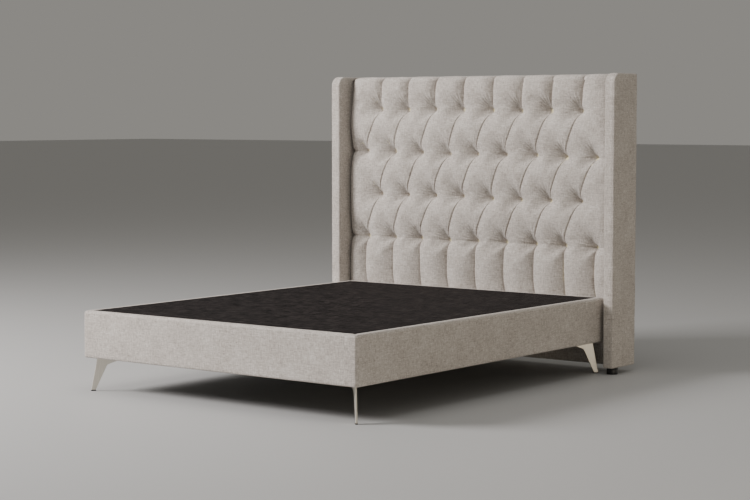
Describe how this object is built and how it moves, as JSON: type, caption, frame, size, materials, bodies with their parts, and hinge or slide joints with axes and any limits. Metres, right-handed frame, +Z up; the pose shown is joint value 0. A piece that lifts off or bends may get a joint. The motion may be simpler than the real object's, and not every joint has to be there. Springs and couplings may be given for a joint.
{
  "type": "upholstered headboard bed",
  "caption": "Padded platform bed base on steel blade legs, with a tall winged headboard in diamond deep tufting and plain woven fabric.",
  "frame": {"origin": "on the floor, in the middle of the bed's overall outline", "axes": "+Z up, +Y towards the headboard, +X to the right of someone looking from the foot end at the headboard"},
  "size_m": [1.66, 2.032, 1.394],
  "materials": {
    "upholstery_fabric": "plain woven, slightly slubbed",
    "deck_cloth": "dark flat non-slip cloth",
    "felt": "needled felt pad",
    "foam": "cut upholstery foam",
    "dust_cloth": "black non-woven dust cloth",
    "pine": "planed, unfinished",
    "plywood": "sanded sheet",
    "leg_steel": "satin",
    "zinc_steel": "zinc plated",
    "glide_plastic": "moulded",
    "black_plastic": "moulded, satin"
  },
  "bodies": {
    "root": {"border_foot": "upholstery_fabric", "border_head": "upholstery_fabric", "border_left": "upholstery_fabric", "border_right": "upholstery_fabric", "tufted_cover": "upholstery_fabric", "lower_panel_cover": "upholstery_fabric", "wing_cover_left": "upholstery_fabric", "wing_cover_right": "upholstery_fabric", "deck_cloth": "deck_cloth", "deck_felt": "felt", "deck_board": "plywood", "tuft_board": "plywood", "base_dust_cover": "dust_cloth", "headboard_back_cover": "dust_cloth", "headboard_foam": "foam", "base_left_rail": "pine", "base_right_rail": "pine", "base_foot_rail": "pine", "base_head_rail": "pine", "base_centre_rail": "pine", "corner_block_front_left": "pine", "corner_block_front_right": "pine", "corner_block_rear_left": "pine", "corner_block_rear_right": "pine", "deck_slat_1": "pine", "deck_slat_2": "pine", "deck_slat_3": "pine", "deck_slat_4": "pine", "deck_slat_5": "pine", "deck_slat_6": "pine", "deck_slat_7": "pine", "deck_slat_8": "pine", "headboard_stile_left": "pine", "headboard_stile_right": "pine", "headboard_centre_stile": "pine", "headboard_bottom_rail": "pine", "headboard_mid_rail": "pine", "headboard_top_rail": "pine", "wing_board_left": "pine", "wing_board_right": "pine", "leg_front_left": "leg_steel", "leg_front_right": "leg_steel", "leg_rear_left": "leg_steel", "leg_rear_right": "leg_steel", "glide_front_left": "glide_plastic", "glide_front_right": "glide_plastic", "glide_rear_left": "glide_plastic", "glide_rear_right": "glide_plastic", "centre_leg_pad": "glide_plastic", "centre_leg": "black_plastic", "headboard_foot_front_left": "black_plastic", "headboard_foot_rear_left": "black_plastic", "headboard_foot_front_right": "black_plastic", "headboard_foot_rear_right": "black_plastic", "bracket_left": "zinc_steel", "bracket_right": "zinc_steel", "base_bolt_left": "zinc_steel", "base_bolt_right": "zinc_steel", "headboard_bolt_left": "zinc_steel", "headboard_bolt_right": "zinc_steel"}
  },
  "joints": []
}
